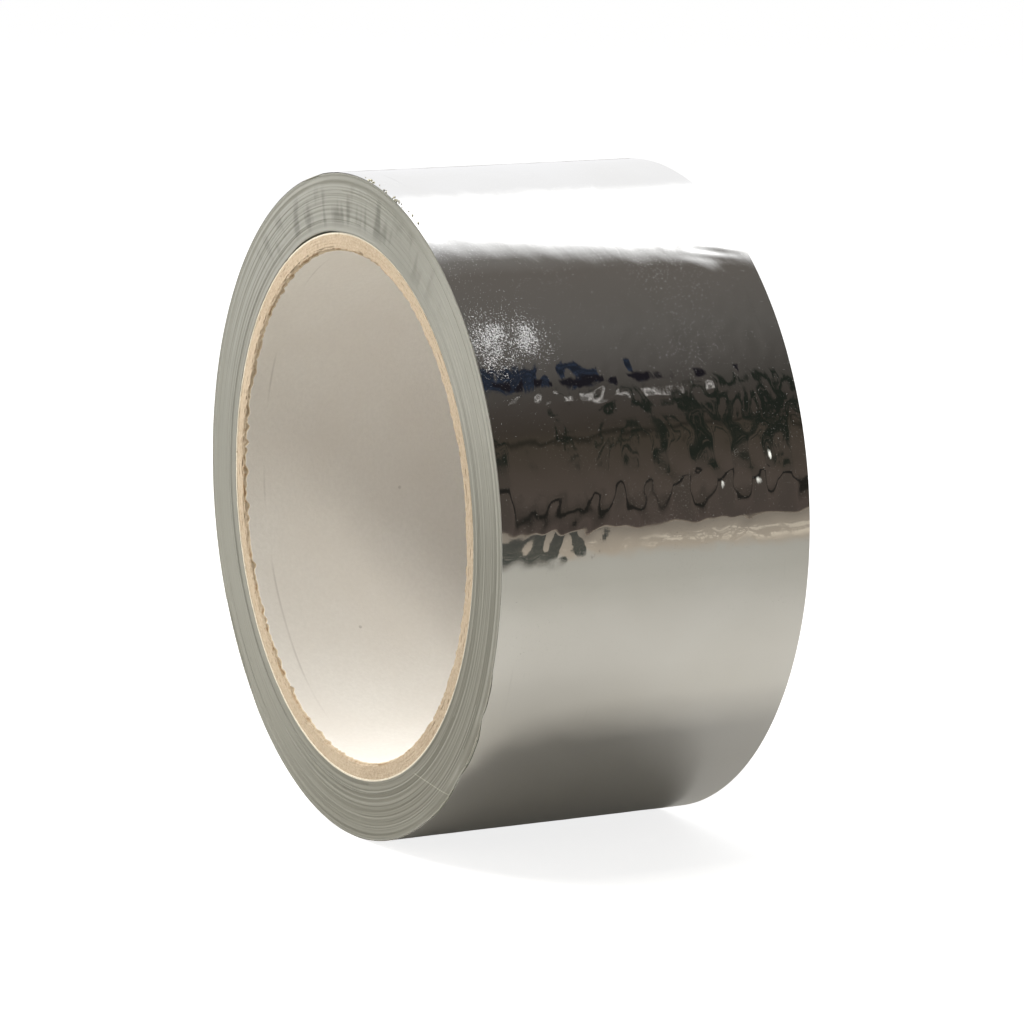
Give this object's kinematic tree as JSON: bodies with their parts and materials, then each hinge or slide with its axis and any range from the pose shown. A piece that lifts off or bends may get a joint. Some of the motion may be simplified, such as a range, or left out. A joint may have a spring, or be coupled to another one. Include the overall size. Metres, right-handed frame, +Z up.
{
  "type": "duct tape roll",
  "caption": "Roll of shiny aluminium foil duct tape on a board core, with a free end that peels off the roll.",
  "frame": {"origin": "centre of the core's bore, midway between the end faces", "axes": "+Y along the bore, +Z up with the roll standing on its rim; the free end is on the -X side"},
  "size_m": [0.0996, 0.05, 0.0996],
  "materials": {
    "white_paper": "matt",
    "kraft_board": "matt, cut edge",
    "pale_board": "matt",
    "wound_edge": "satin, slit edges of foil and adhesive",
    "foil": "bright rolled foil",
    "adhesive": "clear, tacky"
  },
  "bodies": {
    "roll": {"core_liner": "white_paper", "core_ply_1": "kraft_board", "core_ply_2": "kraft_board", "core_ply_3": "kraft_board", "core_ply_4": "kraft_board", "core_ply_5": "kraft_board", "core_outer_ply": "pale_board", "wound_tape": "wound_edge", "outer_wrap_adhesive": "adhesive", "outer_wrap_foil": "foil"},
    "free_end_1": {"free_end_foil_1": "foil", "free_end_adhesive_1": "adhesive"},
    "free_end_2": {"free_end_foil_2": "foil", "free_end_adhesive_2": "adhesive"},
    "free_end_3": {"free_end_foil_3": "foil", "free_end_adhesive_3": "adhesive"},
    "free_end_4": {"free_end_foil_4": "foil", "free_end_adhesive_4": "adhesive"},
    "free_end_5": {"free_end_foil_5": "foil", "free_end_adhesive_5": "adhesive"},
    "free_end_6": {"free_end_foil_6": "foil", "free_end_adhesive_6": "adhesive"}
  },
  "joints": [
    {"name": "free_end_bend_1", "type": "hinge", "parent": "roll", "child": "free_end_1", "pos_m": [-0.0431, 0, 0.02489], "axis": [0, 1, 0], "range_deg": [0, 22]},
    {"name": "free_end_bend_2", "type": "hinge", "parent": "free_end_1", "child": "free_end_2", "pos_m": [-0.04653, 0, 0.01767], "axis": [0, 1, 0], "range_deg": [0, 22]},
    {"name": "free_end_bend_3", "type": "hinge", "parent": "free_end_2", "child": "free_end_3", "pos_m": [-0.04876, 0, 0.00999], "axis": [0, 1, 0], "range_deg": [0, 22]},
    {"name": "free_end_bend_4", "type": "hinge", "parent": "free_end_3", "child": "free_end_4", "pos_m": [-0.04973, 0, 0.00206], "axis": [0, 1, 0], "range_deg": [0, 22]},
    {"name": "free_end_bend_5", "type": "hinge", "parent": "free_end_4", "child": "free_end_5", "pos_m": [-0.04942, 0, -0.00593], "axis": [0, 1, 0], "range_deg": [0, 22]},
    {"name": "free_end_bend_6", "type": "hinge", "parent": "free_end_5", "child": "free_end_6", "pos_m": [-0.04783, 0, -0.01376], "axis": [0, 1, 0], "range_deg": [0, 22]}
  ]
}
